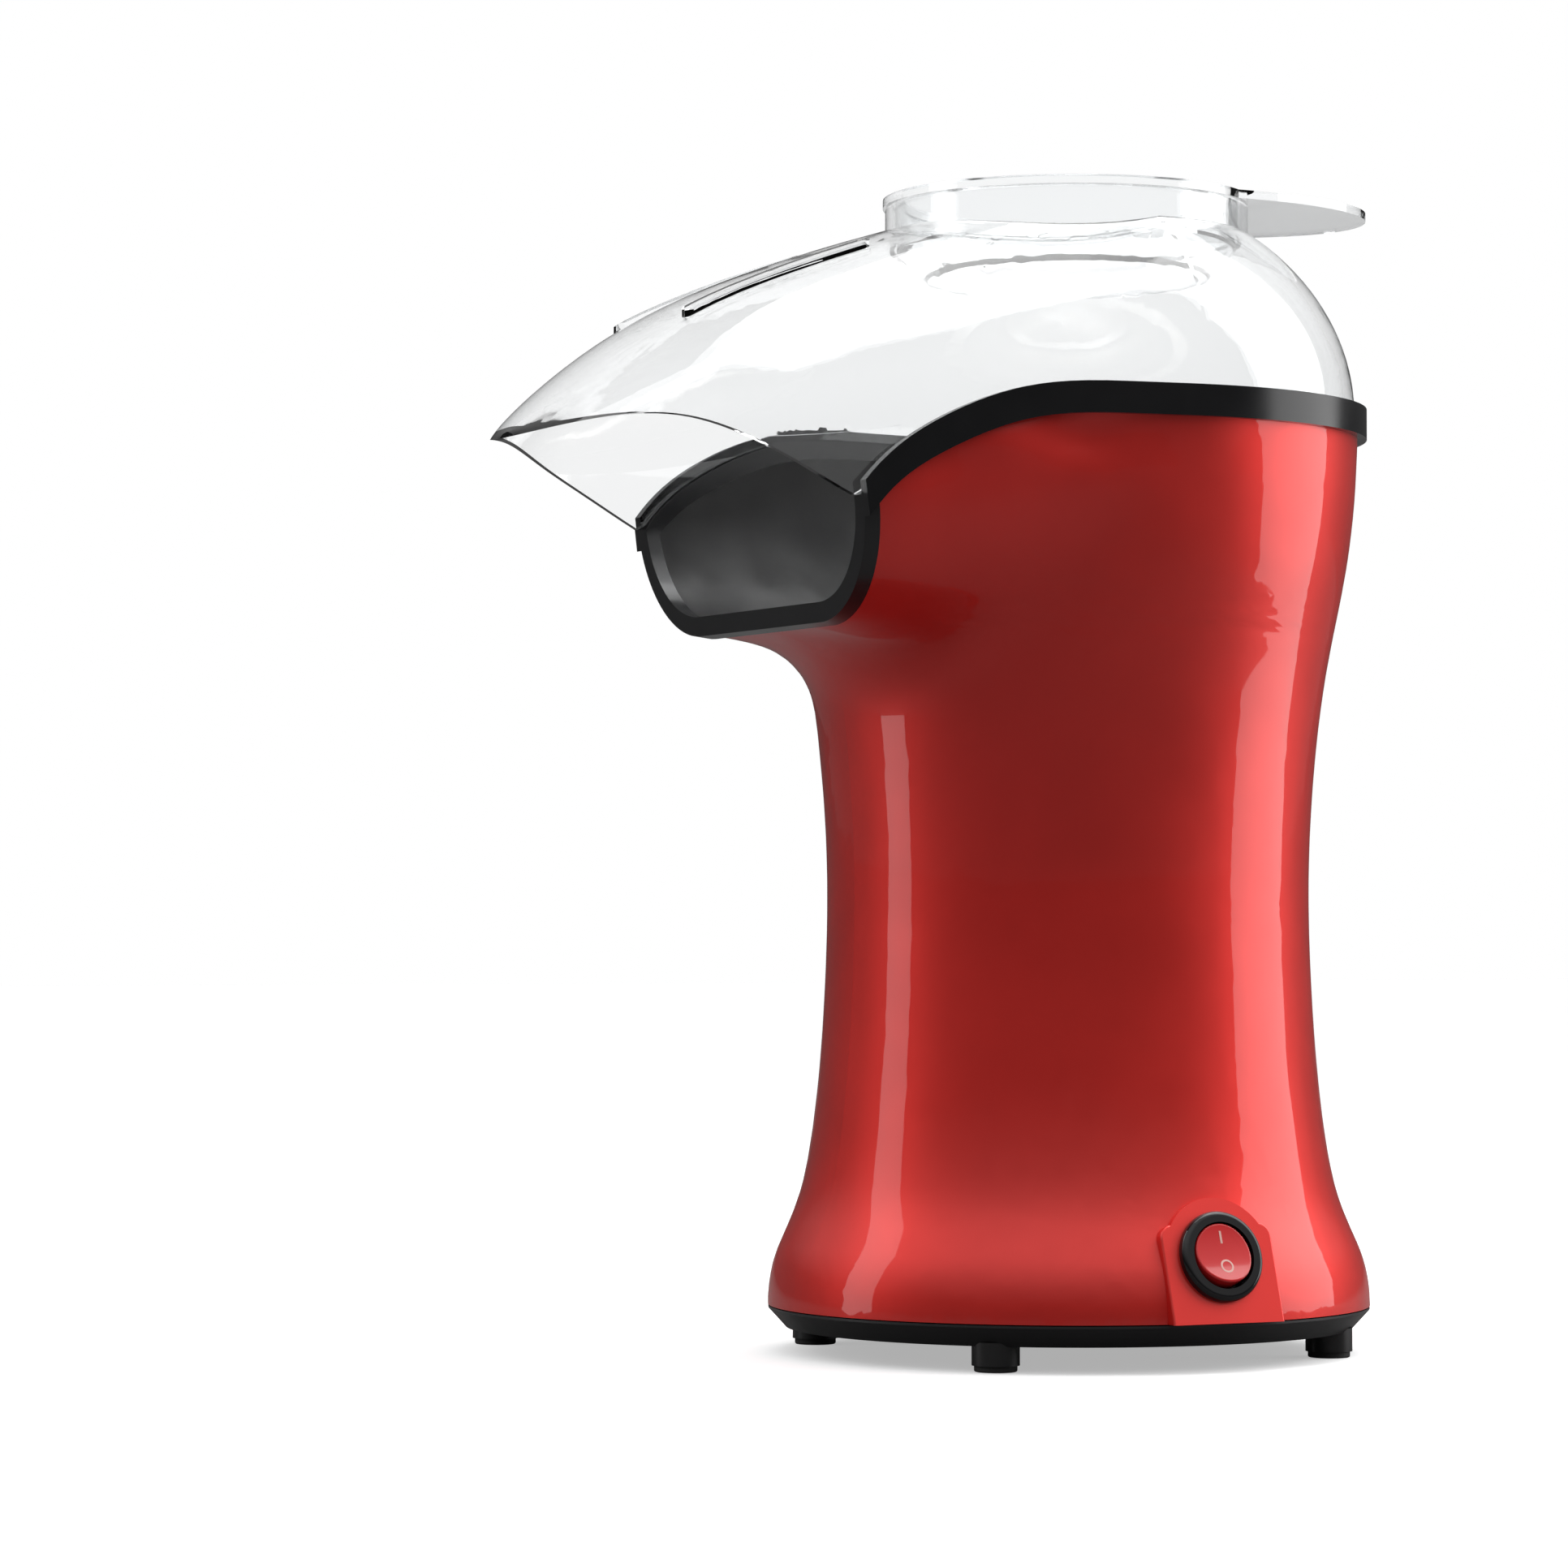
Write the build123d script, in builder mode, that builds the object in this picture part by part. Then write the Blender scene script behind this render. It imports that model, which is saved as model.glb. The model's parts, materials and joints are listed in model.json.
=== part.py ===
from build123d import *
import os
from math import acos, atan2, cos, hypot, pi, radians, sin, sqrt

os.makedirs("parts", exist_ok=True)

# Hot-air popcorn maker. Millimetres, +Z up, floor at zero, spout towards -Y, switch towards +X.

# Overall reach from the upright axis of the body, and height
SPOUT_REACH = 160.0
CUP_EAR_REACH = 88.0
AXIS_Y = (SPOUT_REACH - CUP_EAR_REACH) / 2
TRIM_HEIGHT = 244.3
TOP_HEIGHT = TRIM_HEIGHT + 55.7

# The popping chamber sets how wide the body is
CHAMBER_RADIUS = 46.0
BODY_RADIUS = CHAMBER_RADIUS + 29.3

# Red housing
WALL = 2.2
HOUSING_FOOT = 12.3
# waisted outline from the foot upwards: shares of the body's radius, and of its height above the foot
OUTLINE_SHARES = [
    (1.0372, 0.0), (1.0345, 0.018), (1.0133, 0.0526), (0.9522, 0.1), (0.8845, 0.1905),
    (0.8433, 0.3328), (0.8313, 0.4513), (0.8486, 0.5849), (0.9017, 0.7185), (0.9641, 0.822),
    (0.996, 0.9125), (1.0, 1.0332),
]
OUTLINE = [
    (wide * BODY_RADIUS, HOUSING_FOOT + high * (TRIM_HEIGHT - HOUSING_FOOT))
    for wide, high in OUTLINE_SHARES
]
FOOT_RIM = OUTLINE[0][0]

# Spout horn: a rounded trough that grows out of the front of the housing
MOUTH_HALF_WIDTH = BODY_RADIUS - 12.1
MOUTH_BOTTOM = TRIM_HEIGHT - 57.8
MOUTH_CORNER = 28.0
BACK_CORNER = MOUTH_HALF_WIDTH + 2.8
HORN_RISE = 0.16
HORN_BLEND = 19.0
MOUTH_TOP_REACH = BODY_RADIUS + 18.7
MOUTH_TOP_HEIGHT = TRIM_HEIGHT - 26.3
MOUTH_LEAN = 0.125
LIP_DEPTH = 4.0
SHOULDER_HEIGHT = MOUTH_BOTTOM + 8.5

# Trim ring
TRIM_PROUD = 2.7
LIP_PROUD = 0.6
TRIM_DROP = 7.9
SEAT_DEPTH = 3.0
SEAT_EDGE = 0.2
LINER_GAP = 0.3
LINER_WALL = 1.8
LINER_FLOOR = MOUTH_BOTTOM + WALL + LINER_GAP
INNER = -WALL - LINER_GAP - LINER_WALL

# Measuring cup
CUP_RADIUS = 44.8
CUP_WALL = 1.8
CUP_RIM_RADIUS = CUP_RADIUS + 3.2
CUP_DEPTH = 21.0
CUP_RIM = 2.2
CUP_EAR_HALF_WIDTH = 38.0

# Hood
HOOD_GAP = 0.3
HOOD_RADIUS = BODY_RADIUS - SEAT_EDGE - HOOD_GAP
HOOD_RISE = 61.0
HOOD_SPRING = TRIM_HEIGHT - 1.3
HOOD_WALL = 2.0
VISOR_NOSE = 55.0
VISOR_START = SPOUT_REACH - VISOR_NOSE
COLLAR_TOP = TOP_HEIGHT - CUP_RIM - 0.4
COLLAR_FOOT = HOOD_SPRING + HOOD_RISE * sqrt(1 - (CUP_RIM_RADIUS / HOOD_RADIUS) ** 2) - 7
RIB_OFFSET = 20.0
RIB_START = SPOUT_REACH - 91.0
RIB_END = SPOUT_REACH - 39.0
RIB_WIDTH = 4.2
RIB_RISE = 1.6

# Base plate, feet and screws
PLATE_BOTTOM = 6.5
PLATE_THICK = 2.5
PLATE_RADIUS = FOOT_RIM - 0.1
PLATE_BEVEL_RADIUS = PLATE_RADIUS - 4.5
FOOT_PITCH_RADIUS = PLATE_RADIUS - 9.0
FOOT_RADIUS = 6.0
PAD_HEIGHT = 1.6
PEG_RADIUS = 2.4
BASE_SCREW_PITCH_RADIUS = PLATE_RADIUS - 23.0
SCREW_RADIUS = 1.5
SCREW_HEAD_RADIUS = 3.0
SCREW_HEAD = 2.0
SCREW_END = 24.0
BOSS_RADIUS = 4.0
BOSS_TOP = 28.0
PLATE_SKIRT_TOP = 17.0
GLAND_HEIGHT = 24.0
GLAND_RADIUS = 5.0
CORD_RADIUS = 3.2
GLAND_START = FOOT_RIM - 16.1
GLAND_END = FOOT_RIM + 3.4

# Switch
SWITCH_HEIGHT = 28.3
SWITCH_TILT = 17.0
SWITCH_FACE_RADIUS = FOOT_RIM - 3.1
ROCKER_RADIUS = 7.8
ROCKER_GAP = 0.7
ROCKER_ANGLE = 8.0
PIVOT_RADIUS = 1.0
PIVOT_FIT = 0.06
PIVOT_DEPTH = 1.0
SWITCH_BODY_RADIUS = ROCKER_RADIUS + 2.0
SWITCH_DEPTH = 17.0
BEZEL_RADIUS = SWITCH_BODY_RADIUS + 1.7
BEZEL_PROUD = 2.2
PAD_ARCH_RADIUS = BEZEL_RADIUS + 3.7
PAD_HALF_WIDTH = PAD_ARCH_RADIUS + 0.7
PAD_SHOULDER = 8.6
PAD_SLAB = 3.2

# Popping chamber, duct, heater, fan and motor
CHAMBER_WALL = 0.8
CHAMBER_BOTTOM = 110.0
CHAMBER_RIM = LINER_FLOOR + LINER_WALL
CHAMBER_FLANGE = CHAMBER_RADIUS + 6.5
FLANGE_SCREW_PITCH_RADIUS = CHAMBER_RADIUS + 3.5
FLANGE_SCREW_RADIUS = 1.2
LOUVRE_COUNT = 28
LOUVRE_LOW = 116.0
LOUVRE_HIGH = 132.0
DUCT_WALL = 1.6
FAN_DUCT_RADIUS = CHAMBER_RADIUS - 5.0
HOT_DUCT_RADIUS = CHAMBER_RADIUS + 8.0
DUCT_BOTTOM = 58.0
DUCT_TOP = 142.0
DUCT_LEG_RADIUS = CHAMBER_RADIUS + 3.0
MICA_HALF_WIDTH = FAN_DUCT_RADIUS + 0.5
MICA_LOW = 87.0
MICA_HIGH = 104.0
MICA_THICK = 0.9
COIL_WIRE = 0.7
MOTOR_RADIUS = 14.0
MOTOR_LOW = 20.0
MOTOR_TOP = 56.4
MOTOR_WALL = 1.0
SHAFT_RADIUS = 1.15
SHAFT_FIT = 0.05
FAN_RADIUS = FAN_DUCT_RADIUS - 2.5
FAN_HUB_RADIUS = 9.0
BLADES = 7
MOTOR_SCREW_PITCH_RADIUS = 8.0
MOTOR_SCREW_RADIUS = 1.25
ARMATURE_RADIUS = 10.6
COIL_RADII = [15.0, 30.0]
BOARD_TOP = MOTOR_LOW - 5.0
BOARD_THICK = 1.6
DIODE_RADIUS = 1.4
THERMOSTAT_HEIGHT = 158.0
VENT_PITCH_RADIUS = 29.0
VENT_COUNT = 24
VENT_LENGTH = 22.0
VENT_WIDTH = 3.0
FIT = 0.15
CORNER_ANGLES = [45, 135, 225, 315]
LEG_ANGLES = [30, 150, 270]

# Planes through the upright axis of the body
ground = Plane((0, AXIS_Y, 0))
facing = Plane((0, AXIS_Y, 0), x_dir=(1, 0, 0), z_dir=(0, -1, 0))
middle = Plane((0, AXIS_Y, 0), x_dir=(0, -1, 0), z_dir=(-1, 0, 0))
upright = Axis((0, AXIS_Y, 0), (0, 0, 1))
WIDE = 260.0

body_line = Spline(*OUTLINE)

# The horn's sides leave the round body as tangents and converge to the mouth
TOUCH = atan2(MOUTH_HALF_WIDTH, MOUTH_TOP_REACH) + acos(
    BODY_RADIUS / hypot(MOUTH_HALF_WIDTH, MOUTH_TOP_REACH)
)
HORN_TAPER = (BODY_RADIUS * sin(TOUCH) - MOUTH_HALF_WIDTH) / (MOUTH_TOP_REACH - BODY_RADIUS * cos(TOUCH))


def body_radius(height):
    """Radius of the waisted outline at a height."""
    low = 0.0
    high = 1.0
    for _ in range(30):
        half = (low + high) / 2
        if (body_line @ half).Y < height:
            low = half
        else:
            high = half
    return (body_line @ low).X


def horn_half_width(forward):
    """Half width of the horn at a distance in front of the axis; past the mouth it closes."""
    past = max(0.0, min(forward - MOUTH_TOP_REACH, 44.0))
    straight = MOUTH_HALF_WIDTH + HORN_TAPER * (MOUTH_TOP_REACH - forward)
    return straight * sqrt(1 - (past / 45.0) ** 2)


def horn_corner(forward):
    """Radius of the horn's lower corners, which grows towards the back so that they fade out."""
    return MOUTH_CORNER + (BACK_CORNER - MOUTH_CORNER) * (1 - forward / MOUTH_TOP_REACH)


def outside_by(across, forward, height, radius):
    """Distance outside the flared body, whose round part has this radius; negative inside it."""
    from_body = hypot(across, forward) - radius
    bottom = MOUTH_BOTTOM - HORN_RISE * (MOUTH_TOP_REACH - forward)
    rounding = horn_corner(min(max(forward, 0.0), MOUTH_TOP_REACH))
    side = abs(across) - horn_half_width(forward) + rounding
    under = bottom + rounding - height
    corner = hypot(max(side, 0.0), max(under, 0.0))
    from_horn = corner + min(max(side, under), 0.0) - rounding
    if forward < 0:
        from_horn = from_horn - forward
    frontness = max(forward, 0.0) / hypot(across, forward)
    width = 1 + (HORN_BLEND - 1) * frontness**2
    blend = max(width - abs(from_body - from_horn), 0.0)
    return min(from_body, from_horn) - blend**2 / (4 * width)


def reach(angle, height, radius, proud):
    """Distance from the axis at which the flared body, grown by proud, ends."""
    low = radius / 2
    high = 150.0
    for _ in range(30):
        half = (low + high) / 2
        if outside_by(half * sin(angle), half * cos(angle), height, radius) < proud:
            low = half
        else:
            high = half
    return low


def flared_faces(proud, heights):
    """Level outlines of the flared body, grown by proud, one for each height."""
    faces = []
    steps = 36
    for height in heights:
        radius = body_radius(height)
        points = []
        for step in range(steps):
            angle = 2 * pi * step / steps
            out = reach(angle, height, radius, proud)
            points.append((out * sin(angle), -out * cos(angle)))
        with BuildSketch(ground.offset(height)) as outline:
            with BuildLine():
                Spline(*points, periodic=True)
            make_face()
        faces.append(outline.sketch)
    return faces


# Heights of the outlines: sparse up the waisted body, close together where the horn starts
HORN_START = MOUTH_BOTTOM - 29.5
lower_heights = [
    HOUSING_FOOT + share * (HORN_START - HOUSING_FOOT)
    for share in (0, 0.026, 0.053, 0.088, 0.129, 0.185, 0.274, 0.399, 0.572, 0.758, 0.91)
]
upper_heights = [
    HORN_START + rise for rise in (0, 9, 16, 21, 25, 29, 33, 38, 45, 54, 65, 78, 93)
]


def trim_points(drop):
    """Points of the trim ring's top edge seen from the side, lowered by drop."""
    return [
        (MOUTH_TOP_REACH - 68 - 0.05 * drop, TRIM_HEIGHT - drop),
        (MOUTH_TOP_REACH - 39 - 0.25 * drop, TRIM_HEIGHT - 2.8 - 0.97 * drop),
        (MOUTH_TOP_REACH - 18 - 0.45 * drop, TRIM_HEIGHT - 11.4 - 0.86 * drop),
        (MOUTH_TOP_REACH - 0.45 * drop, MOUTH_TOP_HEIGHT - 0.72 * drop),
    ]


def side_of_trim(drop, far):
    """Everything between the trim ring's lowered top edge and a far height, in side view."""
    with BuildSketch(middle) as region:
        with BuildLine():
            points = trim_points(drop)
            level = Line((-WIDE / 2, points[0][1]), points[0])
            slope = Spline(*points, tangents=((1, 0), (0.62, -0.78)))
            down = Line(slope @ 1, (slope @ 1) + (slope % 1) * 12)
            Polyline(down @ 1, (WIDE, (down @ 1).Y), (WIDE, far), (-WIDE / 2, far), level @ 0)
        make_face()
    return region.sketch


def side_of_mouth(back, far):
    """Everything between the leaning mouth plane, set back by back, and a far reach, in side view."""
    above = 40
    below = 70
    high = (MOUTH_TOP_REACH + MOUTH_LEAN * above - back, MOUTH_TOP_HEIGHT + above)
    low = (MOUTH_TOP_REACH - MOUTH_LEAN * below - back, MOUTH_TOP_HEIGHT - below)
    with BuildSketch(middle) as region:
        with BuildLine():
            Polyline(low, high, (far, high[1]), (far, low[1]), close=True)
        make_face()
    return region.sketch


def cut_above_trim(drop):
    """Cuts off what stands above the trim ring's lowered top edge."""
    extrude(side_of_trim(drop, TOP_HEIGHT + 50), amount=WIDE / 2, both=True, mode=Mode.SUBTRACT)


def cut_below_trim(drop):
    """Cuts off what hangs below the trim ring's lowered top edge."""
    extrude(side_of_trim(drop, 100), amount=WIDE / 2, both=True, mode=Mode.SUBTRACT)


def cut_before_mouth(back):
    """Cuts off what stands in front of the mouth plane, set back by back."""
    extrude(side_of_mouth(back, WIDE), amount=WIDE / 2, both=True, mode=Mode.SUBTRACT)


def disc(radius, low, high, mode=Mode.ADD):
    """An upright cylinder round the body's axis between two heights."""
    with BuildSketch(ground.offset(low)) as face:
        Circle(radius)
    extrude(face.sketch, amount=high - low, mode=mode)


def posts(pitch_radius, angles, radius, low, high, mode=Mode.ADD):
    """Upright cylinders on a circle round the body's axis between two heights."""
    with BuildSketch(ground.offset(low)) as faces:
        for angle in angles:
            with PolarLocations(pitch_radius, 1, start_angle=angle):
                Circle(radius)
    extrude(faces.sketch, amount=high - low, mode=mode)


def prism(grow, low, high, mode=Mode.ADD):
    """The body's horseshoe plan at its top, grown by grow, standing between two heights."""
    radius = BODY_RADIUS + grow
    across = radius * sin(TOUCH)
    forward = radius * cos(TOUCH)
    with BuildSketch(ground.offset(low)) as plan:
        with BuildLine():
            past = MOUTH_TOP_REACH + 36
            front = across - HORN_TAPER * (past - forward)
            Polyline((across, -forward), (front, -past), (-front, -past), (-across, -forward))
            ThreePointArc((across, -forward), (0, radius), (-across, -forward))
        make_face()
    extrude(plan.sketch, amount=high - low, mode=mode)


def trough_section(forward, grow):
    """Upright section of the horn's trough, grown by grow."""
    half = MOUTH_HALF_WIDTH + HORN_TAPER * (MOUTH_TOP_REACH - forward) + grow
    bottom = MOUTH_BOTTOM - HORN_RISE * (MOUTH_TOP_REACH - forward) - grow
    corner = horn_corner(forward) + grow
    with BuildSketch(facing.offset(forward)) as section:
        with BuildLine():
            top = TRIM_HEIGHT + 25
            Polyline((half, bottom + corner), (half, top), (-half, top), (-half, bottom + corner))
            CenterArc((corner - half, bottom + corner), corner, 180, 90)
            Line((corner - half, bottom), (half - corner, bottom))
            CenterArc((half - corner, bottom + corner), corner, 270, 90)
        make_face()
    return section.sketch


def trough(grow, mode=Mode.ADD):
    """The horn's trough, grown by grow, from the body's axis to past the mouth."""
    past = MOUTH_TOP_REACH + 21
    loft([trough_section(0, grow), trough_section(past, grow)], ruled=True, mode=mode)


def throat(grow, low):
    """The space inside the top of the body and its horn, grown by grow, above a floor."""
    heights = [low] + [MOUTH_BOTTOM + rise for rise in (9.5, 16.5, 26.5, 39.5, 73.5)]
    top = heights[-1]
    with BuildSketch(facing) as half:
        with BuildLine():
            points = [(body_radius(height) + grow, height) for height in heights]
            Polyline((0, top), (0, low), *points, (0, top))
        make_face()
    revolve(half.sketch, axis=upright)
    trough(grow)
    disc(WIDE, low - 40, low, mode=Mode.SUBTRACT)


def write(piece, name):
    """Labels a finished sub-part and writes it."""
    piece.part.label = name
    export_step(piece.part, f"parts/{name}.step")


switch_plane = Plane(
    (SWITCH_FACE_RADIUS, AXIS_Y, SWITCH_HEIGHT),
    x_dir=(0, 1, 0),
    z_dir=(cos(radians(SWITCH_TILT)), 0, sin(radians(SWITCH_TILT))),
)
rear = Plane((0, AXIS_Y, GLAND_HEIGHT), x_dir=(-1, 0, 0), z_dir=(0, 1, 0))

# outer_housing
with BuildPart() as outer_housing:
    loft(flared_faces(0, lower_heights + upper_heights))
    cut_above_trim(TRIM_DROP)
    cut_before_mouth(LIP_DEPTH)
    with BuildPart(mode=Mode.PRIVATE) as pad:
        with BuildSketch(switch_plane):
            with Locations((0, PAD_SHOULDER - 20)):
                RectangleRounded(2 * PAD_HALF_WIDTH, 40, 3.5)
            Circle(PAD_ARCH_RADIUS)
        extrude(amount=-PAD_SLAB)
        fillet(pad.faces().sort_by(Axis.X)[-1].edges(), 0.5)
        disc(WIDE, -40, HOUSING_FOOT, mode=Mode.SUBTRACT)
    add(pad.part)
    loft(
        flared_faces(-WALL, [HOUSING_FOOT - 2] + lower_heights[1:] + upper_heights),
        mode=Mode.SUBTRACT,
    )
    add(pad.part)
    posts(BASE_SCREW_PITCH_RADIUS, CORNER_ANGLES, BOSS_RADIUS, HOUSING_FOOT, BOSS_TOP)
    with BuildSketch(ground.offset(PLATE_SKIRT_TOP + 0.5)) as ribs:
        for angle in CORNER_ANGLES:
            with PolarLocations(BASE_SCREW_PITCH_RADIUS + 9.5, 1, start_angle=angle):
                Rectangle(19, 2.4)
    extrude(ribs.sketch, amount=BOSS_TOP - PLATE_SKIRT_TOP - 0.5)
    posts(
        BASE_SCREW_PITCH_RADIUS, CORNER_ANGLES, SCREW_RADIUS, 0, SCREW_END + 1, mode=Mode.SUBTRACT
    )
    with BuildSketch(switch_plane.offset(BEZEL_PROUD)) as panel_hole:
        Circle(SWITCH_BODY_RADIUS + FIT)
    extrude(panel_hole.sketch, amount=-SWITCH_DEPTH, mode=Mode.SUBTRACT)
    with BuildSketch(rear.offset(GLAND_START)) as cord_hole:
        Circle(GLAND_RADIUS + FIT)
    extrude(cord_hole.sketch, amount=30, mode=Mode.SUBTRACT)

write(outer_housing, "outer_housing")

# trim_ring
with BuildPart() as trim_ring:
    prism(TRIM_PROUD, SHOULDER_HEIGHT, TOP_HEIGHT)
    cut_below_trim(TRIM_DROP)
    with BuildPart(mode=Mode.PRIVATE) as lip:
        trough(LIP_PROUD)
        cut_above_trim(TRIM_DROP - 3)
        extrude(side_of_mouth(LIP_DEPTH, -WIDE), amount=WIDE / 2, both=True, mode=Mode.SUBTRACT)
    add(lip.part)
    cut_above_trim(0)
    cut_before_mouth(0)
    trough(INNER, mode=Mode.SUBTRACT)
    prism(INNER, MOUTH_BOTTOM + MOUTH_CORNER, TOP_HEIGHT, mode=Mode.SUBTRACT)
    with BuildPart(mode=Mode.PRIVATE) as seat:
        prism(-SEAT_EDGE, SHOULDER_HEIGHT, TOP_HEIGHT)
        cut_below_trim(SEAT_DEPTH)
    add(seat.part, mode=Mode.SUBTRACT)

write(trim_ring, "trim_ring")

# spout_liner
with BuildPart() as spout_liner:
    throat(-WALL - LINER_GAP, LINER_FLOOR)
    cut_above_trim(TRIM_DROP)
    cut_before_mouth(LIP_DEPTH)
    with BuildPart(mode=Mode.PRIVATE) as passage:
        throat(INNER, LINER_FLOOR + LINER_WALL)
    add(passage.part, mode=Mode.SUBTRACT)
    posts(FLANGE_SCREW_PITCH_RADIUS, CORNER_ANGLES, 3.0, LINER_FLOOR - 5, LINER_FLOOR + 0.5)
    disc(CHAMBER_RADIUS + FIT, LINER_FLOOR - 10, LINER_FLOOR + 10, mode=Mode.SUBTRACT)
    posts(
        FLANGE_SCREW_PITCH_RADIUS, CORNER_ANGLES, FLANGE_SCREW_RADIUS,
        LINER_FLOOR - 6, LINER_FLOOR + 10, mode=Mode.SUBTRACT,
    )

write(spout_liner, "spout_liner")

# hood
ridge_line = Spline(
    (0, HOOD_SPRING + HOOD_RISE),
    (0.319 * SPOUT_REACH, TRIM_HEIGHT + 45.3),
    (0.55 * SPOUT_REACH, TRIM_HEIGHT + 33.3),
    (0.775 * SPOUT_REACH, TRIM_HEIGHT + 16.7),
    (0.931 * SPOUT_REACH, TRIM_HEIGHT - 2.3),
    (SPOUT_REACH, TRIM_HEIGHT - 12.3),
)
spring_line = Spline(
    (0, HOOD_SPRING),
    (0.25 * SPOUT_REACH, TRIM_HEIGHT - 3.8),
    (0.594 * SPOUT_REACH, TRIM_HEIGHT - 14.3),
    (0.8125 * SPOUT_REACH, TRIM_HEIGHT - 16.8),
    (SPOUT_REACH, TRIM_HEIGHT - 17.8),
)
# the hood's sides run along the seat's sides
VISOR_HALF_WIDTH = (
    MOUTH_HALF_WIDTH + HORN_TAPER * (MOUTH_TOP_REACH - VISOR_START) - SEAT_EDGE - HOOD_GAP
)
LEAN_TURN = atan2(VISOR_HALF_WIDTH, VISOR_START) + acos(
    HOOD_RADIUS / hypot(VISOR_START, VISOR_HALF_WIDTH)
)
LEAN_START = HOOD_RADIUS * cos(LEAN_TURN)
LEAN = (HOOD_RADIUS * sin(LEAN_TURN) - VISOR_HALF_WIDTH) / (VISOR_START - LEAN_START)


def height_on(line, forward):
    """Height of a side-view line at a distance in front of the axis."""
    low = 0.0
    high = 1.0
    for _ in range(30):
        half = (low + high) / 2
        if (line @ half).X < forward:
            low = half
        else:
            high = half
    return (line @ low).Y


def hood_half_width(forward):
    """Half width of the hood: round at the back, straight sides, elliptical nose."""
    if forward < LEAN_START:
        return sqrt(HOOD_RADIUS**2 - forward**2)
    if forward < VISOR_START:
        return VISOR_HALF_WIDTH + LEAN * (VISOR_START - forward)
    return VISOR_HALF_WIDTH * sqrt(1 - ((forward - VISOR_START) / VISOR_NOSE) ** 2)


def arch(forward, inset):
    """Upright section across the hood, pulled in by inset."""
    share = max(forward - VISOR_START, 0) / VISOR_NOSE
    width = hood_half_width(forward) * (1 - inset / VISOR_HALF_WIDTH)
    spring = height_on(spring_line, forward)
    crown = height_on(ridge_line, forward) - inset * (1 + 0.12 * share)
    with BuildSketch(facing.offset(forward - inset * share)) as section:
        with BuildLine():
            low = SHOULDER_HEIGHT
            Polyline((-width, spring), (-width, low), (width, low), (width, spring))
            EllipticalCenterArc((0, spring), width, crown - spring, arc_size=180)
        make_face()
    return section.sketch


# where the hood's arches stand, as shares of the spout's reach
ARCH_SHARES = [
    0, 0.0625, 0.156, 0.25, 0.344, 0.4375, 0.531, 0.6125, 0.675,
    0.7375, 0.8, 0.856, 0.906, 0.944, 0.972, 0.9894, 0.998,
]


def hood_body(inset, mode=Mode.ADD):
    """The hood's full shape, pulled in by inset: a round back and a lofted visor."""
    loft([arch(share * SPOUT_REACH, inset) for share in ARCH_SHARES], mode=mode)
    radius = HOOD_RADIUS * (1 - inset / VISOR_HALF_WIDTH)
    with BuildSketch(facing) as half:
        with BuildLine():
            low = SHOULDER_HEIGHT
            crown = HOOD_SPRING + HOOD_RISE - inset
            Polyline((0, crown), (0, low), (radius, low), (radius, HOOD_SPRING))
            EllipticalCenterArc((0, HOOD_SPRING), radius, HOOD_RISE - inset, arc_size=90)
        make_face()
    revolve(half.sketch, axis=upright, revolution_arc=180, mode=mode)


with BuildPart() as hood:
    hood_body(0)
    with BuildPart(mode=Mode.PRIVATE) as ribs:
        hood_body(-RIB_RISE)
        with BuildSketch(ground.offset(TRIM_HEIGHT - 25), mode=Mode.PRIVATE) as rib_plan:
            for side in (-1, 1):
                with Locations((side * RIB_OFFSET, -(RIB_START + RIB_END) / 2)):
                    SlotOverall(RIB_END - RIB_START, RIB_WIDTH, rotation=90)
        extrude(rib_plan.sketch, amount=100, mode=Mode.INTERSECT)
    add(ribs.part)
    disc(CUP_RIM_RADIUS - 0.6, COLLAR_FOOT, COLLAR_TOP)
    hood_body(HOOD_WALL, mode=Mode.SUBTRACT)
    disc(WIDE, COLLAR_TOP, COLLAR_TOP + 50, mode=Mode.SUBTRACT)
    disc(CUP_RADIUS + 0.8, HOOD_SPRING + 20, COLLAR_TOP + 50, mode=Mode.SUBTRACT)
    with BuildSketch(middle) as below:
        with BuildLine():
            points = trim_points(SEAT_DEPTH - HOOD_GAP)
            level = Line((-WIDE / 2, points[0][1]), points[0])
            slope = Spline(*points, tangents=((1, 0), (0.62, -0.78)))
            down = Line(slope @ 1, (MOUTH_TOP_REACH + 1.2, TRIM_HEIGHT - 29.7))
            nose = SPOUT_REACH - MOUTH_TOP_REACH
            edge = Spline(
                down @ 1,
                (MOUTH_TOP_REACH + 0.242 * nose, TRIM_HEIGHT - 21.9),
                (MOUTH_TOP_REACH + 0.455 * nose, TRIM_HEIGHT - 15.0),
                (MOUTH_TOP_REACH + 0.667 * nose, TRIM_HEIGHT - 10.4),
                (MOUTH_TOP_REACH + 0.848 * nose, TRIM_HEIGHT - 10.9),
                (MOUTH_TOP_REACH + 1.06 * nose, TRIM_HEIGHT - 14.8),
            )
            Polyline(
                edge @ 1, (WIDE, (edge @ 1).Y), (WIDE, 100), (-WIDE / 2, 100), level @ 0
            )
        make_face()
    extrude(below.sketch, amount=WIDE / 2, both=True, mode=Mode.SUBTRACT)

write(hood, "hood")

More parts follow.
